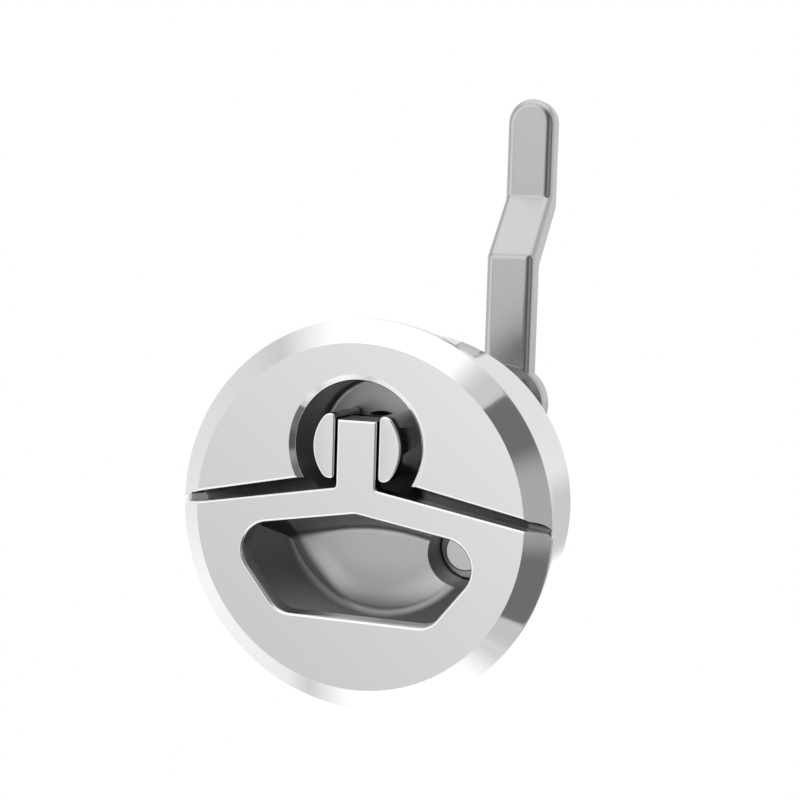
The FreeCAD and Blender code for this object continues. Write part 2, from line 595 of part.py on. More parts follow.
def make_spindle():
    spindle = new_body("spindle")
    section = sketch(spindle, "spindle_section", "XZ_Plane")
    collar_back = f"{FLOOR} + Sizes.collar_play"
    points = [("0", FACE), ("Sizes.ear_radius", FACE), ("Sizes.ear_radius", EAR_BACK),
              ("Sizes.collar_radius", EAR_BACK), ("Sizes.collar_radius", collar_back),
              ("Sizes.journal_radius", collar_back)]
    for seal in ("Sizes.seal_front_depth", "Sizes.seal_back_depth"):
        front = f"{FACE} - {seal} + {GROOVE}"
        back = f"{FACE} - {seal} - {GROOVE}"
        points += [("Sizes.journal_radius", front), (GROOVE_RADIUS, front), (GROOVE_RADIUS, back),
                   ("Sizes.journal_radius", back)]
    points += [("Sizes.journal_radius", JOURNAL_END), ("Sizes.thread_radius", JOURNAL_END),
               ("Sizes.thread_radius", f"{SPINDLE_END} + Sizes.thread_chamfer"),
               ("Sizes.thread_radius - Sizes.thread_chamfer", SPINDLE_END), ("0", SPINDLE_END)]
    polygon(section, points)
    revolve(spindle, "spindle_turn", section)

    flats = sketch(spindle, "ear_flats", "XY_Plane", FACE)
    rectangle(flats, "-Sizes.rim_radius", "Sizes.rim_radius", "Sizes.ear_rise", "Sizes.rim_radius")
    rectangle(flats, "-Sizes.rim_radius", "Sizes.rim_radius", "-Sizes.rim_radius", "-Sizes.ear_rise")
    pocket(spindle, "ear_flats_cut", flats, "Sizes.ear_depth")
    dress(spindle, "Fillet", "ear_corners", lambda edge: upright(edge) and abs(edge.CenterOfMass.x) > 3,
          Radius="Sizes.ear_corner")

    half_slot = "(Sizes.tab_width / 2 + Sizes.slot_play)"
    slot = sketch(spindle, "slot_outline", "XY_Plane", FACE)
    rectangle(slot, f"-{half_slot}", half_slot, "-Sizes.rim_radius", "Sizes.rim_radius")
    pocket(spindle, "slot", slot, "Sizes.ear_depth - Sizes.bridge_thickness")
    window = sketch(spindle, "window_outline", "XY_Plane", FACE)
    rectangle(window, f"-{half_slot}", half_slot, "Sizes.tab_rise", "Sizes.rim_radius")
    pocket(spindle, "window", window, "Sizes.ear_depth")
    half = size("tab_width") / 2 + size("slot_play")

    def slot_corner(edge):
        middle = edge.CenterOfMass
        return (upright(edge) and abs(abs(middle.x) - half) < TOLERANCE
                and abs(abs(middle.y) - size("ear_rise")) < TOLERANCE
                and middle.z > face_z - size("ear_depth"))

    dress(spindle, "Fillet", "ear_slot_corners", slot_corner, Radius="Sizes.ear_slot_corner")
    dress(spindle, "Fillet", "ear_front", lambda edge: level(edge, face_z), Radius="Sizes.ear_edge")

    bore = sketch(spindle, "pin_seat_outline", "YZ_Plane")
    circle(bore, "Sizes.pin_radius + Sizes.pin_seat_play", "Sizes.pin_rise", PIN_Z)
    pocket(spindle, "pin_seat", bore, "4 * Sizes.ear_radius", symmetric=True)

    keys = sketch(spindle, "arm_flats", "XY_Plane", FLAT_START)
    rectangle(keys, "-Sizes.ear_radius", "Sizes.ear_radius", "Sizes.flat_rise", "Sizes.ear_radius")
    rectangle(keys, "-Sizes.ear_radius", "Sizes.ear_radius", "-Sizes.ear_radius", "-Sizes.flat_rise")
    pocket(spindle, "arm_flats_cut", keys)
    keep("spindle", spindle, AXIS)


def rectangle(drawn, left, right, low, high):
    return polygon(drawn, [(left, high), (right, high), (right, low), (left, low)])


def make_pin():
    """The hinge pin, ground off along the round side of the ears."""
    rod = cylinder("pin_rod", "Sizes.pin_radius", "2 * Sizes.ear_radius", "-Sizes.ear_radius",
                   "Sizes.pin_rise", PIN_Z, ACROSS)
    ends = cylinder("pin_ends", "Sizes.ear_radius - Sizes.pin_grip", "Sizes.ear_depth", out=EAR_BACK)
    keep("hinge_pin", common("pin", [rod, ends]), AXIS)


def turned_piece(node, points, up=AXIS):
    """A turned sub-part from the outline of its section."""
    piece = new_body(node + "_turned")
    section = sketch(piece, node + "_section", "XZ_Plane")
    polygon(section, points)
    revolve(piece, node + "_turn", section)
    keep(node, piece, up)
    return piece


def washer_section(bore, radius, front, back):
    return [(bore, front), (radius, front), (radius, back), (bore, back)]


WASHER_BORE = "(Sizes.thread_radius + Sizes.thrust_bore_play)"


def make_turned_pieces():
    inside = "Sizes.barrel_radius + Sizes.gasket_play"
    turned_piece("flange_gasket", washer_section(inside, f"{inside} + Sizes.gasket_width", FLANGE_BACK, "0"),
                 up="0")
    turned_piece("thrust_washer", washer_section(WASHER_BORE, "Sizes.thrust_radius", BARREL_BACK,
                                                 THRUST_BACK))
    turned_piece("disc_spring", [(WASHER_BORE, f"{THRUST_BACK} - Sizes.disc_spring_rise"),
                                 ("Sizes.disc_spring_radius", THRUST_BACK),
                                 ("Sizes.disc_spring_radius", f"{THRUST_BACK} - Sizes.disc_spring_thickness"),
                                 (WASHER_BORE, SPRING_BACK)])
    turned_piece("backing_washer", washer_section(WASHER_BORE, "Sizes.thin_washer_radius", SPRING_BACK,
                                                  THIN_WASHER_BACK))
    seals = (("spindle_seal_front", "Sizes.seal_front_depth"), ("spindle_seal_back", "Sizes.seal_back_depth"))
    for node, depth in seals:
        seal = new_body(node + "_moulded")
        section = sketch(seal, node + "_section", "XZ_Plane")
        middle = "Sizes.journal_radius + Sizes.journal_play - Sizes.seal_play - Sizes.seal_section / 2"
        circle(section, "Sizes.seal_section / 2", middle, f"{FACE} - {depth}")
        revolve(seal, node + "_turn", section)
        keep(node, seal, AXIS)


def make_plug():
    front = f"({PLUG_SEAT} + Sizes.plug_flange_thickness)"
    head = f"({front} + Sizes.plug_head_height)"
    flange = "(Sizes.plug_bore_radius - Sizes.plug_gap)"
    end = f"{FACE} - Sizes.plug_boss_depth - 1.5"
    plug = new_body("plug_turned")
    section = sketch(plug, "plug_section", "XZ_Plane")
    polygon(section, [("0", head), ("Sizes.plug_head_radius", head), ("Sizes.plug_head_radius", front),
                      (flange, front), (flange, PLUG_SEAT), ("Sizes.plug_shank_radius", PLUG_SEAT),
                      ("Sizes.plug_shank_radius", end), ("0", end)])
    revolve(plug, "plug_turn", section)
    head_z = face_z - size("plug_seat_depth") + size("plug_flange_thickness") + size("plug_head_height")
    dress(plug, "Chamfer", "plug_head_edge", lambda edge: level(edge, head_z), Size="0.25")
    keep("lock_plug", plug, PLUG_Y)
    plug.setExpression(".Placement.Base.x", PLUG_X)


def nut(name, thickness, back):
    """A hexagon nut with both faces chamfered, from its back towards the front."""
    blank = new_body(name + "_blank")
    section = sketch(blank, name + "_section", "XZ_Plane")
    face = "(0.475 * Sizes.nut_flats)"
    corner = "(Sizes.nut_flats / sqrt(3))"
    drop = f"(({corner} - {face}) * tan(Sizes.nut_chamfer * 1 deg))"
    bore = "(Sizes.thread_radius + Sizes.thread_play)"
    lead = "0.5"
    front = f"{back} + {thickness}"
    polygon(section, [(f"{bore} + {lead}", front), (face, front), (corner, f"{front} - {drop}"),
                      (corner, f"{back} + {drop}"), (face, back), (f"{bore} + {lead}", back),
                      (bore, f"{back} + {lead}"), (bore, f"{front} - {lead}")])
    revolve(blank, name + "_turn", section)
    hexagon = doc.addObject("Part::Prism", name + "_hexagon")
    hexagon.Polygon = 6
    bind(hexagon, Circumradius=corner, Height=thickness)
    put(hexagon, out=back)
    return common(name, [blank, hexagon])


def make_nuts():
    thin = [nut("spindle_nut", "Sizes.thin_nut_thickness", SPINDLE_NUT_BACK),
            nut("lock_nut", "Sizes.thin_nut_thickness", LOCK_NUT_BACK)]
    keep("spindle_nuts", compound("thin_nuts", thin), AXIS)
    full = [nut("arm_nut_front", "Sizes.full_nut_thickness", FRONT_WASHER),
            nut("arm_nut_back", "Sizes.full_nut_thickness", BACK_NUT)]
    keep("arm_nuts", compound("full_nuts", full), AXIS)


def compound(name, pieces):
    pair = doc.addObject("Part::Compound", name)
    pair.Links = pieces
    return pair


def make_arm_washers():
    turned_piece("arm_washer", washer_section(WASHER_BORE, "Sizes.arm_washer_radius", FRONT_WASHER,
                                              ARM_FRONT))
    outer = cylinder("spring_washer_disc", "Sizes.spring_washer_radius", "Sizes.spring_washer_thickness",
                     out=SPRING_WASHER)
    inner = cylinder("spring_washer_bore", WASHER_BORE, "Sizes.spring_washer_thickness", out=SPRING_WASHER)
    split = box("spring_washer_split", "Sizes.spring_washer_gap", "2 * Sizes.spring_washer_radius",
                "Sizes.spring_washer_thickness", "-Sizes.spring_washer_gap / 2", "0", SPRING_WASHER)
    keep("spring_washer", cut("spring_washer_cut", outer, [inner, split]), AXIS)


# Latching arm, forged bar with a joggle and a round eye
def make_arm():
    low = "(Sizes.arm_bend_low - Sizes.spindle_height)"
    high = "(Sizes.arm_bend_high - Sizes.spindle_height)"
    tip = "(Sizes.arm_tip - Sizes.spindle_height)"
    fall = "atan(Sizes.arm_joggle / (Sizes.arm_bend_high - Sizes.arm_bend_low))"
    shift = f"(Sizes.arm_thickness * tan({fall} / 2))"
    foot = "-2 * Sizes.arm_eye_radius"
    side = new_body("arm_side")
    drawn = sketch(side, "arm_side_outline", "YZ_Plane")
    polygon(drawn, [(foot, ARM_FRONT), (low, ARM_FRONT), (high, f"{ARM_FRONT} - Sizes.arm_joggle"),
                    (tip, f"{ARM_FRONT} - Sizes.arm_joggle"), (tip, f"{ARM_BACK} - Sizes.arm_joggle"),
                    (f"{high} - {shift}", f"{ARM_BACK} - Sizes.arm_joggle"), (f"{low} - {shift}", ARM_BACK),
                    (foot, ARM_BACK)])
    pad(side, "arm_side_pad", drawn, "4 * Sizes.arm_width", symmetric=True)
    front_z = face_z - size("arm_depth")
    back_z = front_z - size("arm_thickness")
    joggle = size("arm_joggle")

    nearest = size("arm_eye_radius")
    farthest = size("arm_tip") - size("spindle_height") - size("arm_width") / 2

    def bend(edge, z):
        """Whether an edge is a bend's line across the bar at a height."""
        straight_across = edge.BoundBox.YLength < TOLERANCE and level(edge, z)
        return straight_across and nearest < edge.CenterOfMass.y < farthest

    dress(side, "Fillet", "outer_bends", lambda edge: bend(edge, front_z) or bend(edge, back_z - joggle),
          Radius="Sizes.arm_bend_outside")
    dress(side, "Fillet", "inner_bends", lambda edge: bend(edge, back_z) or bend(edge, front_z - joggle),
          Radius="Sizes.arm_bend_inside")

    length = f"({tip} - Sizes.arm_width / 2)"
    depth = "(Sizes.arm_thickness + Sizes.arm_joggle)"
    start = f"({ARM_BACK} - Sizes.arm_joggle)"
    plan = box("arm_bar", "Sizes.arm_width", length, depth, "-Sizes.arm_width / 2", "0", start)
    end = cylinder("arm_end", "Sizes.arm_width / 2", depth, up=length, out=start)
    eye = cylinder("arm_eye", "Sizes.arm_eye_radius", depth, out=start)
    bar = body_from("arm_forging", common("arm_blank", [side, fuse("arm_plan", [plan, end, eye])]))

    def on_sheet(edge, z):
        """Whether both ends of an edge lie on the bar's front or back, before or after the joggle."""
        ends = (edge.valueAt(edge.FirstParameter).z, edge.valueAt(edge.LastParameter).z)
        if edge.BoundBox.YLength < TOLERANCE or upright(edge):
            return False
        return all(z - joggle - TOLERANCE < end < z + TOLERANCE for end in ends)

    def along_back(edge):
        """Whether an edge's middle lies nearer to the back than to the front of the bar."""
        middle = edge.valueAt((edge.FirstParameter + edge.LastParameter) / 2)
        return middle.z < bar_middle(middle.y)

    def bar_middle(y):
        """Height of the bar's middle plane at a distance along the bar."""
        start_y = size("arm_bend_low") - size("spindle_height")
        end_y = size("arm_bend_high") - size("spindle_height")
        drop = min(max((y + size("arm_thickness") / 4 - start_y) / (end_y - start_y), 0), 1) * joggle
        return (front_z + back_z) / 2 - drop

    dress(bar, "Fillet", "arm_front_edge", lambda edge: on_sheet(edge, front_z) and not along_back(edge),
          Radius="Sizes.arm_edge")
    dress(bar, "Fillet", "arm_back_edge", lambda edge: on_sheet(edge, back_z) and along_back(edge),
          Radius="Sizes.arm_back_edge")

    round_hole = cylinder("arm_round_hole", "Sizes.thread_radius + Sizes.flat_play", "Sizes.arm_thickness",
                          out=ARM_BACK)
    flat_hole = box("arm_flat_hole", "2 * Sizes.arm_width", "2 * (Sizes.flat_rise + Sizes.flat_play)",
                    "Sizes.arm_thickness", "-Sizes.arm_width", "-(Sizes.flat_rise + Sizes.flat_play)",
                    ARM_BACK)
    keep("arm", cut("arm_keyed", bar, [common("arm_key_hole", [round_hole, flat_hole])]), AXIS)


def check_and_write():
    doc.recompute()
    failed = [item.Name for item in doc.Objects if "Invalid" in item.State or "Error" in item.State]
    if failed:
        raise RuntimeError("failed objects: " + ", ".join(failed))
    for node, piece in PIECES.items():
        shape = piece.Shape
        if shape.isNull() or not shape.isValid() or not shape.Solids:
            raise RuntimeError("bad shape: " + node)
    os.makedirs("parts", exist_ok=True)
    for node, piece in PIECES.items():
        shape = piece.Shape
        shape.exportStep(f"parts/{node}.step")
        bounds = shape.BoundBox
        print(f"{node}: {len(shape.Solids)} solid, {shape.Volume:.1f} mm3,",
              f"x {bounds.XMin:.2f} {bounds.XMax:.2f}, y {bounds.YMin:.2f} {bounds.YMax:.2f},",
              f"z {bounds.ZMin:.2f} {bounds.ZMax:.2f}")


make_body()
make_turned_pieces()
make_plug()
make_spindle()
make_pin()
make_ring()
make_nuts()
make_arm_washers()
make_arm()
check_and_write()
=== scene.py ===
"""Flush lift ring in polished stainless steel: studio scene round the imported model."""
import math

import bmesh
import bpy
from mathutils import Matrix, Vector


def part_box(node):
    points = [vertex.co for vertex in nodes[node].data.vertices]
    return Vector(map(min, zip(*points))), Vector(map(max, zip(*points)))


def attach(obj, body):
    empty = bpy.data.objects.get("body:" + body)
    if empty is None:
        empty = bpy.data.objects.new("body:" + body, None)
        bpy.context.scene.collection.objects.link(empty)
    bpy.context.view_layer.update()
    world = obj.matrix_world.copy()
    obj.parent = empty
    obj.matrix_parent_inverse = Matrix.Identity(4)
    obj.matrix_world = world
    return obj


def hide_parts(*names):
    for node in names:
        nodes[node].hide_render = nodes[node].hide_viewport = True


MM = 0.001

# Camera, placed as the photograph's lens saw the ring. Metres and degrees; lens and sensor in millimetres.
CAMERA_PLACE = Vector((0.1045, -0.2734, 0.0500))
CAMERA_AZIMUTH = 19.767
CAMERA_ELEVATION = 5.389
CAMERA_ROLL = 1.725
CAMERA_LENS = 68.29
CAMERA_SENSOR = 36.0

# Places on the object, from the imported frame. Metres.
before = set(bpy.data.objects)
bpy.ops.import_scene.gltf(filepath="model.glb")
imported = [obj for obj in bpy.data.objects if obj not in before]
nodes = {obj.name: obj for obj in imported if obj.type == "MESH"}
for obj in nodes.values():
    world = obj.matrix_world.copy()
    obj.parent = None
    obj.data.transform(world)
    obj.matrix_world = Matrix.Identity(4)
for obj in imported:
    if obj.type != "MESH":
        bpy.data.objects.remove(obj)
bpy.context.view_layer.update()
FACE_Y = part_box("body")[0].y

# The spindle's tail: a rolled M8 thread with two flats, which start 2 mm before the front arm nut.
washer_low, washer_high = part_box("thrust_washer")
SPINDLE_Z = (washer_low.z + washer_high.z) / 2
THREAD_START = washer_low.y + 0.4 * MM
THREAD_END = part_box("spindle")[1].y
THREAD_CREST = 4.0 * MM
THREAD_ROOT = 3.35 * MM
THREAD_END_RADIUS = 3.1 * MM
THREAD_STEPS = 32
PITCH = 1.25 * MM
FLAT_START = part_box("arm_nuts")[0].y - 2.0 * MM
FLAT_RISE = 3.25 * MM


# Small helpers
def add_node(tree, kind, settings=None, inputs=None):
    """Adds a node, sets its properties, and sets or links its inputs."""
    node = tree.nodes.new(kind)
    for name, value in (settings or {}).items():
        setattr(node, name, value)
    for key, value in (inputs or {}).items():
        if isinstance(value, bpy.types.NodeSocket):
            tree.links.new(value, node.inputs[key])
        else:
            node.inputs[key].default_value = value
    return node


def linear(hex_colour):
    """A hex sRGB colour as linear RGBA."""
    channels = [int(hex_colour[start:start + 2], 16) / 255 for start in (1, 3, 5)]
    return tuple(c / 12.92 if c <= 0.04045 else ((c + 0.055) / 1.055) ** 2.4 for c in channels) + (1.0,)


def new_material(name):
    """An empty node material and its tree."""
    material = bpy.data.materials.new(name)
    material.use_nodes = True
    material.node_tree.nodes.clear()
    return material, material.node_tree


def dress(node, material):
    """Gives a CAD node its finish."""
    finishes = nodes[node].data.materials
    finishes.clear()
    finishes.append(material)


# Finishes
# The bevel round the face falls 3.4 mm over 4.5 mm.
BEVEL_RADIUS = 33.5 * MM
BEVEL_SLOPE = 3.4 / 4.5


def zone(tree, *spans):
    """How far a point lies inside a place, from 0 to 1. Each span is a length, and the two values in
    millimetres between which it goes softly from 0 to 1."""
    share = 1.0
    for length, outer, inner in spans:
        edge = add_node(tree, "ShaderNodeMapRange", {"interpolation_type": "SMOOTHSTEP"},
                        {"Value": length, "From Min": outer * MM, "From Max": inner * MM})
        product = add_node(tree, "ShaderNodeMath", {"operation": "MULTIPLY"}, {0: edge.outputs[0], 1: share})
        share = product.outputs[0]
    return share


def clouds(tree, place, size, detail, low, high):
    """Soft clouds of a real size: their height, and a roughness that drifts with them between two values."""
    noise = add_node(tree, "ShaderNodeTexNoise", None, {"Vector": place, "Scale": 1 / size, "Detail": detail})
    drift = add_node(tree, "ShaderNodeMapRange", None,
                     {"Value": noise.outputs["Fac"], "To Min": low, "To Max": high})
    return noise.outputs["Fac"], drift.outputs[0]


def close_material(tree, metallic, colour, roughness, relief, strength, distance):
    """Ends a material with its shader. The relief is a height that only bends the light."""
    bump = add_node(tree, "ShaderNodeBump", None,
                    {"Height": relief, "Strength": strength, "Distance": distance})
    shader = add_node(tree, "ShaderNodeBsdfPrincipled", None,
                      {"Base Color": colour, "Metallic": metallic, "Roughness": roughness,
                       "Normal": bump.outputs[0]})
    add_node(tree, "ShaderNodeOutputMaterial", None, {"Surface": shader.outputs[0]})


def below_bevel(tree, radius, depth):
    """Depth under the face, and further out under the bevel."""
    past = add_node(tree, "ShaderNodeMath", {"operation": "SUBTRACT"}, {0: radius, 1: BEVEL_RADIUS})
    beyond = add_node(tree, "ShaderNodeMath", {"operation": "MAXIMUM"}, {0: past.outputs[0], 1: 0.0})
    fall = add_node(tree, "ShaderNodeMath", {"operation": "MULTIPLY"}, {0: beyond.outputs[0], 1: BEVEL_SLOPE})
    below = add_node(tree, "ShaderNodeMath", {"operation": "SUBTRACT"}, {0: depth, 1: fall.outputs[0]})
    return below.outputs[0]


def inside_tone_painted_shade_and_light(tree, across, height, depth, radius):
    """Tone of the cup's blasted inside: its darker grey is painted shade in the hollow. The tone differs by
    place, with painted light and painted shade, to match the light and shade of the main view, not because
    the real finish is known to change."""
    # At the left, the places on the bowl's floor and wall lie up to 2.2 mm nearer to the middle.
    leftward = zone(tree, (across, -4.0, -14.0))
    shift = add_node(tree, "ShaderNodeMath", {"operation": "MULTIPLY"}, {0: leftward, 1: 2.2 * MM})
    outward = add_node(tree, "ShaderNodeMath", {"operation": "ADD"}, {0: radius, 1: shift.outputs[0]})
    outward = outward.outputs[0]
    in_bowl = ((height, 6.0, 2.0), (depth, 4.2, 4.8))
    # Painted light makes the floor's foot and the walls above the floor lighter; painted shade makes the
    # round wall and the place under the ears darker.
    floor_foot_painted_light = zone(tree, (outward, 14.5, 18.5), (outward, 20.8, 19.6), (height, -5.0, -13.0))
    slope = zone(tree, *in_bowl, (depth, 14.0, 13.2))
    round_wall_painted_shade = zone(tree, *in_bowl, (outward, 20.5, 21.7), (height, -1.0, -5.0))
    # The shade under the ears has half its strength at their left.
    shade = zone(tree, (height, 9.0, 7.5), (across, 13.0, 11.5), (height, 1.0, 2.5))
    strength = add_node(tree, "ShaderNodeMapRange", None,
                        {"Value": across, "From Min": -7.0 * MM, "From Max": -4.5 * MM, "To Min": 0.5})
    painted_shade_under_ears = add_node(tree, "ShaderNodeMath", {"operation": "MULTIPLY"},
                          {0: shade, 1: strength.outputs[0]})

    colour = linear("#b9b9b8")
    for share, tone in ((floor_foot_painted_light, "#dadad9"), (slope, "#f6f6f5"), (painted_shade_under_ears.outputs[0], "#4b4b4b"),
                        (round_wall_painted_shade, "#7c7c7b")):
        mix = add_node(tree, "ShaderNodeMix", {"data_type": "RGBA"},
                       {"Factor": share, 6: colour, 7: linear(tone)})
        colour = mix.outputs[2]
    return colour


def mopped_casting(name, reach):
    """Investment-cast 316 stainless: mopped to a mirror outside, left blasted and matt inside. The inside
    lies within the reach, and starts about a millimetre below the face and the bevel."""
    material, tree = new_material(name)
    place = add_node(tree, "ShaderNodeTexCoord").outputs["Object"]
    parts = add_node(tree, "ShaderNodeSeparateXYZ", None, {0: place})
    across, along, height = parts.outputs["X"], parts.outputs["Y"], parts.outputs["Z"]
    flat = add_node(tree, "ShaderNodeCombineXYZ", None, {0: across, 1: height})
    radius = add_node(tree, "ShaderNodeVectorMath", {"operation": "LENGTH"},
                      {0: flat.outputs[0]}).outputs["Value"]
    depth = add_node(tree, "ShaderNodeMath", {"operation": "SUBTRACT"}, {0: along, 1: FACE_Y}).outputs[0]
    deep = zone(tree, (below_bevel(tree, radius, depth), 0.6, 1.2))
    within = add_node(tree, "ShaderNodeMath", {"operation": "LESS_THAN"}, {0: radius, 1: reach}).outputs[0]
    inside = add_node(tree, "ShaderNodeMath", {"operation": "MULTIPLY"}, {0: deep, 1: within}).outputs[0]

    # Clouds left by the polishing mop. The rim's narrow side is duller than the bevel.
    mop, polish = clouds(tree, place, 6.25 * MM, 3.0, 0.045, 0.085)
    side = zone(tree, (radius, 37.5, 37.9))
    duller = add_node(tree, "ShaderNodeMath", {"operation": "MULTIPLY"}, {0: side, 1: 0.08})
    polish = add_node(tree, "ShaderNodeMath", {"operation": "ADD"}, {0: polish, 1: duller.outputs[0]})
    # Clouds in the blasted skin, drawn coarse because its real grain of 0.1 mm is too fine to show.
    satin = clouds(tree, place, 2.5 * MM, 3.0, 0.36, 0.44)[1]
    roughness = add_node(tree, "ShaderNodeMix", {"data_type": "FLOAT"},
                         {"Factor": inside, 2: polish.outputs[0], 3: satin})
    # Inside, the darker grey is painted shade in the hollow, with painted light and painted shade that differ
    # by place.
    colour = add_node(tree, "ShaderNodeMix", {"data_type": "RGBA"},
                      {"Factor": inside, 6: linear("#e9e9e9"),
                       7: inside_tone_painted_shade_and_light(tree, across, height, depth, radius)})
    close_material(tree, 1.0, colour.outputs[2], roughness.outputs[0], mop, 0.04, 0.02 * MM)
    return material


def satin_forging():
    """Forged 304 bar, tumbled: an even grey satin that blurs what it mirrors."""
    material, tree = new_material("tumbled_304_forging")
    place = add_node(tree, "ShaderNodeTexCoord").outputs["Object"]
    # Tumbling marks 0.5 mm across.
    marks = add_node(tree, "ShaderNodeTexNoise", None,
                     {"Vector": place, "Scale": 1 / (0.5 * MM), "Detail": 3.0})
    roughness = clouds(tree, place, 8.33 * MM, 2.0, 0.15, 0.23)[1]
    close_material(tree, 1.0, linear("#b6b8b5"), roughness, marks.outputs["Fac"], 0.12, 0.01 * MM)
    return material


def turned_steel(name, colour, shaded, pitch, low, high):
    """Stainless turned on a lathe: fine rings round the Y axis. The tone inside the cup stands in for
    shade."""
    material, tree = new_material(name)
    place = add_node(tree, "ShaderNodeTexCoord").outputs["Object"]
    # At scale 1 the wave repeats after pi / 10.
    rings = add_node(tree, "ShaderNodeTexWave", {"wave_type": "BANDS", "bands_direction": "Y"},
                     {"Vector": place, "Scale": math.pi / 10 / pitch})
    roughness = clouds(tree, place, 4.55 * MM, 2.0, low, high)[1]
    along = add_node(tree, "ShaderNodeSeparateXYZ", None, {0: place}).outputs["Y"]
    depth = add_node(tree, "ShaderNodeMath", {"operation": "SUBTRACT"}, {0: along, 1: FACE_Y}).outputs[0]
    tone = add_node(tree, "ShaderNodeMix", {"data_type": "RGBA"},
                    {"Factor": zone(tree, (depth, 0.4, 0.8), (depth, 20.0, 19.0)),
                     6: linear(colour), 7: linear(shaded)})
    close_material(tree, 1.0, tone.outputs[2], roughness, rings.outputs["Fac"], 0.15, 0.01 * MM)
    return material


def rubber(name, colour, grain, low):
    """Moulded rubber: matt black with a fine grain."""
    material, tree = new_material(name)
    place = add_node(tree, "ShaderNodeTexCoord").outputs["Object"]
    skin, roughness = clouds(tree, place, grain, 2.0, low, low + 0.2)
    close_material(tree, 0.0, linear(colour), roughness, skin, 0.3, 0.03 * MM)
    return material


cup_casting = mopped_casting("mopped_316_cup_casting", 33.2 * MM)
ring_casting = mopped_casting("mopped_316_ring_casting", 37.9 * MM)
forging = satin_forging()
spindle_steel = turned_steel("turned_316_spindle", "#e6e5e3", "#7d7d7c", 0.12 * MM, 0.06, 0.12)
plug_steel = turned_steel("turned_304_plug", "#c9c8c6", "#c9c8c6", 0.15 * MM, 0.2, 0.3)
fastener_steel = turned_steel("cold_formed_304_fasteners", "#cfcecb", "#cfcecb", 0.3 * MM, 0.18, 0.28)
# The arm washer's darker grey is painted shade in the dark gap round it.
washer_steel_painted_shade = turned_steel("pressed_304_washer_painted_shade", "#a4a4a3", "#a4a4a3", 0.3 * MM, 0.18, 0.28)
gasket_rubber = rubber("moulded_epdm_gasket", "#1b1b1c", 0.4 * MM, 0.6)
seal_rubber = rubber("moulded_nitrile_seal", "#121213", 0.3 * MM, 0.35)

FINISHES = {
    "body": cup_casting, "ring": ring_casting, "arm": forging, "spindle": spindle_steel,
    "hinge_pin": spindle_steel, "lock_plug": plug_steel, "thrust_washer": fastener_steel,
    "disc_spring": fastener_steel, "backing_washer": fastener_steel, "spindle_nuts": fastener_steel,
    "arm_nuts": fastener_steel, "spring_washer": fastener_steel, "arm_washer": washer_steel_painted_shade,
    "flange_gasket": gasket_rubber, "spindle_seal_front": seal_rubber, "spindle_seal_back": seal_rubber,
}
for node, finish in FINISHES.items():
    dress(node, finish)


# Spindle with its rolled thread
ON_PLANE = 0.0001 * MM
SAME_PLACE = 0.001 * MM


def cut_off(shape, along, outwards):
    """Removes what lies beyond a plane across the spindle."""
    everything = shape.verts[:] + shape.edges[:] + shape.faces[:]
    bmesh.ops.bisect_plane(shape, geom=everything, dist=ON_PLANE, plane_co=(0, along, 0),
                           plane_no=(0, outwards, 0), clear_outer=True)


def split_at(shape, place, normal):
    """Draws edges where a plane meets the shape."""
    everything = shape.verts[:] + shape.edges[:] + shape.faces[:]
    bmesh.ops.bisect_plane(shape, geom=everything, dist=ON_PLANE, plane_co=place, plane_no=normal)


def rolled_thread():
    """The threaded tail as a closed shape: one thread profile spun along a helix, chamfered and flattened."""
    tail = bmesh.new()
    # One pitch of the profile: root, flank, crest, flank and root.
    section = ((THREAD_ROOT, 0.0), (THREAD_ROOT, 0.16 * MM), (THREAD_CREST, 0.56 * MM),
               (THREAD_CREST, 0.72 * MM), (THREAD_ROOT, 1.12 * MM), (THREAD_ROOT, PITCH))
    start = THREAD_START - PITCH
    drawn = [tail.verts.new((radius, start + along, SPINDLE_Z)) for radius, along in section]
    edges = [tail.edges.new(pair) for pair in zip(drawn, drawn[1:])]
    turns = math.ceil((THREAD_END - THREAD_START) / PITCH) + 2
    bmesh.ops.spin(tail, geom=drawn + edges, cent=(0, 0, SPINDLE_Z), axis=(0, 1, 0),
                   dvec=(0, PITCH / THREAD_STEPS, 0), angle=math.tau * turns, steps=THREAD_STEPS * turns)
    bmesh.ops.remove_doubles(tail, verts=tail.verts, dist=SAME_PLACE)
    cut_off(tail, THREAD_START, -1)
    cut_off(tail, THREAD_END, 1)
    bmesh.ops.holes_fill(tail, edges=tail.edges, sides=0)
    split_at(tail, (0, FLAT_START, 0), (0, 1, 0))
    split_at(tail, (0, 0, SPINDLE_Z + FLAT_RISE), (0, 0, 1))
    split_at(tail, (0, 0, SPINDLE_Z - FLAT_RISE), (0, 0, 1))
    for vertex in tail.verts:
        # The two flats.
        if vertex.co.y > FLAT_START + SAME_PLACE:
            vertex.co.z = min(max(vertex.co.z, SPINDLE_Z - FLAT_RISE), SPINDLE_Z + FLAT_RISE)
        # The chamfer at the end, at 45 degrees.
        across, up = vertex.co.x, vertex.co.z - SPINDLE_Z
        radius = math.hypot(across, up)
        most = THREAD_END_RADIUS + THREAD_END - vertex.co.y
        if radius > most:
            vertex.co.x = across * most / radius
            vertex.co.z = SPINDLE_Z + up * most / radius
    bmesh.ops.recalc_face_normals(tail, faces=tail.faces)
    return tail


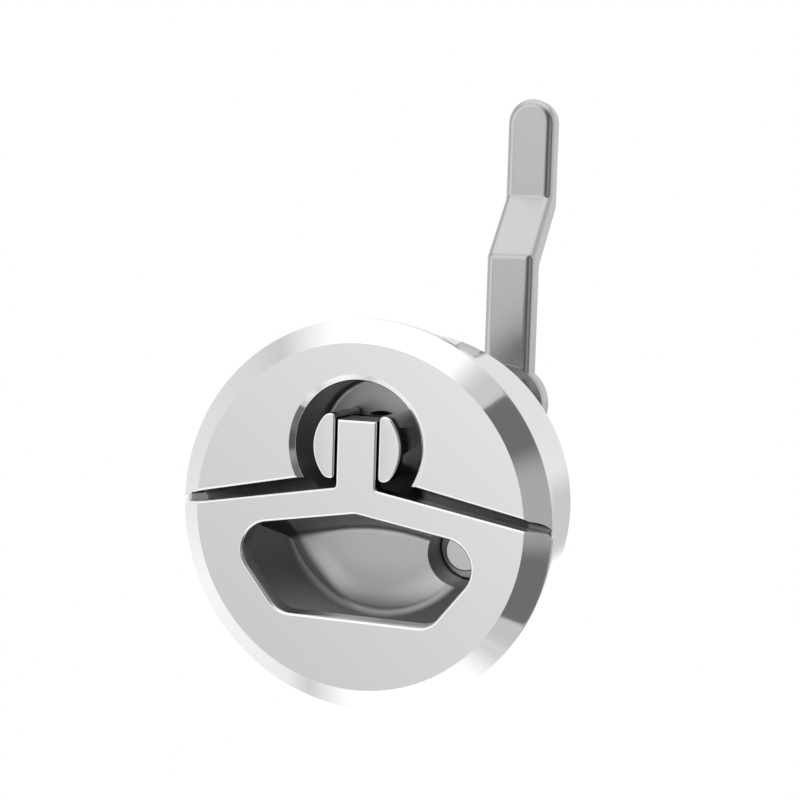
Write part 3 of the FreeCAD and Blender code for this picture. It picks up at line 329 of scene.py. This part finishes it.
def threaded_spindle():
    """The turned spindle with its rolled M8 tail in place of the plain one."""
    head = bmesh.new()
    head.from_mesh(nodes["spindle"].data)
    bmesh.ops.remove_doubles(head, verts=head.verts, dist=SAME_PLACE)
    cut_off(head, THREAD_START, 1)
    bmesh.ops.holes_fill(head, edges=head.edges, sides=0)
    tail = rolled_thread()
    mesh = bpy.data.meshes.new("threaded_spindle")
    tail.to_mesh(mesh)
    head.from_mesh(mesh)
    head.to_mesh(mesh)
    tail.free()
    head.free()
    mesh.shade_smooth()
    mesh.set_sharp_from_angle(angle=math.radians(30))
    mesh.materials.append(spindle_steel)
    piece = bpy.data.objects.new("threaded_spindle", mesh)
    bpy.context.scene.collection.objects.link(piece)
    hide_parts("spindle")
    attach(piece, "spindle_group")


threaded_spindle()


# Studio
FLOOR_Z = -0.35
FLOOR_RADIUS = 0.40

# Brightness of the tent by height, from straight down at -1 to straight up at 1.
SKY = (
    (-0.95, 1.35), (-0.90, 1.05), (-0.845, 0.75), (-0.79, 1.0), (-0.70, 1.05), (-0.42, 1.12),
    (-0.09, 0.93), (0.10, 0.90), (0.46, 0.82), (0.62, 0.72), (0.80, 1.20), (0.90, 1.35),
)

# Where the camera's view goes when the flat face mirrors it. Azimuth and elevation.
FRONT = (109.8, -5.4)
# Cards over the tent, in this order: azimuth and elevation, half angle and soft edge in degrees, brightness.
CARDS = (
    ((45, 3), 43, 15, 0.70),  # grey border of the dark right side
    ((31, -49), 2, 6, 0.66),  # grey spot low at the right
    ((45, 3), 37.3, 0.8, 0.18),  # dark right side, made of two discs
    ((33, -8), 36, 0.8, 0.18),
    ((0, -5), 10, 4, 0.24),  # its far right
    ((32, 1), 6, 16, 0.47),  # a soft light in it
    ((48, -9), 4, 7, 0.11),  # its darkest place
    ((-96, -19), 9, 8, 1.35),  # light behind the ring
    ((-77, -11), 3, 9, 0.66),  # grey beside that light
)


def towards(azimuth, elevation):
    """A direction from the object. The azimuth turns from +X towards -Y."""
    turn, lift = math.radians(azimuth), math.radians(elevation)
    return Vector((math.cos(turn) * math.cos(lift), -math.sin(turn) * math.cos(lift), math.sin(lift)))


def card(tree, direction, level, place, size, edge, brightness):
    """Lays a round card over the studio as the metal sees it, with a soft edge. Sizes are half angles."""
    nearness = add_node(tree, "ShaderNodeVectorMath", {"operation": "DOT_PRODUCT"},
                        {0: direction, 1: towards(*place)})
    inside = add_node(tree, "ShaderNodeMapRange", {"interpolation_type": "SMOOTHSTEP"},
                      {"Value": nearness.outputs["Value"], "From Min": math.cos(math.radians(size + edge)),
                       "From Max": math.cos(math.radians(size))})
    return add_node(tree, "ShaderNodeMix", {"data_type": "FLOAT"},
                    {"Factor": inside.outputs[0], 2: level, 3: brightness}).outputs[0]


def tent_by_height(tree, direction):
    """Brightness of the tent in a direction. The ramp holds half of it, so that no stop is above 1."""
    parts = add_node(tree, "ShaderNodeSeparateXYZ", None, {0: direction})
    height = add_node(tree, "ShaderNodeMapRange", None,
                      {"Value": parts.outputs["Z"], "From Min": -1.0, "From Max": 1.0})
    ramp = add_node(tree, "ShaderNodeValToRGB", None, {0: height.outputs[0]})
    while len(ramp.color_ramp.elements) < len(SKY):
        ramp.color_ramp.elements.new(0.5)
    for stop, (z, brightness) in zip(ramp.color_ramp.elements, SKY):
        stop.position = (z + 1) / 2
        stop.color = (brightness / 2, brightness / 2, brightness / 2, 1.0)
    doubled = add_node(tree, "ShaderNodeMath", {"operation": "MULTIPLY"}, {0: ramp.outputs[0], 1: 2.0})
    return doubled.outputs[0]


def studio_world():
    """White for the camera and for soft light. What the metal mirrors is painted to fit the main view: a
    white tent with a grey front and a dark right side."""
    world = bpy.data.worlds.new("studio")
    world.use_nodes = True
    tree = world.node_tree
    tree.nodes.clear()
    direction = add_node(tree, "ShaderNodeTexCoord").outputs["Generated"]
    tent = tent_by_height(tree, direction)
    tent = card(tree, direction, tent, FRONT, 40, 15, 1.30)
    # The grey front brightens to the right and upwards.
    slope = add_node(tree, "ShaderNodeVectorMath", {"operation": "DOT_PRODUCT"},
                     {0: direction, 1: (0.70, 0.0, 0.76)})
    grey = add_node(tree, "ShaderNodeMath", {"operation": "ADD"}, {0: slope.outputs["Value"], 1: 1.195})
    tent = card(tree, direction, tent, FRONT, 13, 8, grey.outputs[0])
    for place, size, edge, brightness in CARDS:
        tent = card(tree, direction, tent, place, size, edge, brightness)
    path = add_node(tree, "ShaderNodeLightPath")
    strength = add_node(tree, "ShaderNodeMix", {"data_type": "FLOAT"},
                        {"Factor": path.outputs["Is Glossy Ray"], 2: 1.0, 3: tent})
    background = add_node(tree, "ShaderNodeBackground", None,
                          {"Color": (1.0, 1.0, 1.0, 1.0), "Strength": strength.outputs[0]})
    add_node(tree, "ShaderNodeOutputWorld", None, {"Surface": background.outputs[0]})
    bpy.context.scene.world = world


def floor():
    """Round white floor with a faint glow, so that it is white outside the shadow. The metal sees the tent
    below it."""
    mesh = bpy.data.meshes.new("studio_floor")
    shape = bmesh.new()
    bmesh.ops.create_circle(shape, cap_ends=True, segments=96, radius=FLOOR_RADIUS,
                            matrix=Matrix.Translation((0, 0, FLOOR_Z)))
    shape.to_mesh(mesh)
    shape.free()
    piece = bpy.data.objects.new("studio_floor", mesh)
    bpy.context.scene.collection.objects.link(piece)
    material, tree = new_material("white_studio_floor")
    glow = add_node(tree, "ShaderNodeEmission", None, {"Color": (1.0, 1.0, 1.0, 1.0), "Strength": 0.055})
    paint = add_node(tree, "ShaderNodeBsdfDiffuse", None, {"Color": linear("#f9f9f9")})
    both = add_node(tree, "ShaderNodeAddShader", None, {0: paint.outputs[0], 1: glow.outputs[0]})
    add_node(tree, "ShaderNodeOutputMaterial", None, {"Surface": both.outputs[0]})
    mesh.materials.append(material)
    piece.visible_glossy = False


def photo_camera():
    """The camera at the photograph's place, with its small roll."""
    azimuth, elevation, roll = (math.radians(v) for v in (CAMERA_AZIMUTH, CAMERA_ELEVATION, CAMERA_ROLL))
    ahead = Vector((-math.sin(azimuth) * math.cos(elevation), math.cos(azimuth) * math.cos(elevation),
                    -math.sin(elevation)))
    right = Vector((math.cos(azimuth), math.sin(azimuth), 0.0))
    up = right.cross(ahead)
    rolled_right = math.cos(roll) * right + math.sin(roll) * up
    rolled_up = math.cos(roll) * up - math.sin(roll) * right
    data = bpy.data.cameras.new("photo_camera")
    data.lens = CAMERA_LENS
    data.sensor_width = CAMERA_SENSOR
    data.clip_start = 0.01
    data.clip_end = 10.0
    camera = bpy.data.objects.new("photo_camera", data)
    bpy.context.scene.collection.objects.link(camera)
    turn = Matrix((rolled_right, rolled_up, -ahead)).transposed()
    camera.matrix_world = Matrix.Translation(CAMERA_PLACE) @ turn.to_4x4()
    bpy.context.scene.camera = camera


studio_world()
floor()
photo_camera()
bpy.context.scene.view_settings.view_transform = "Standard"
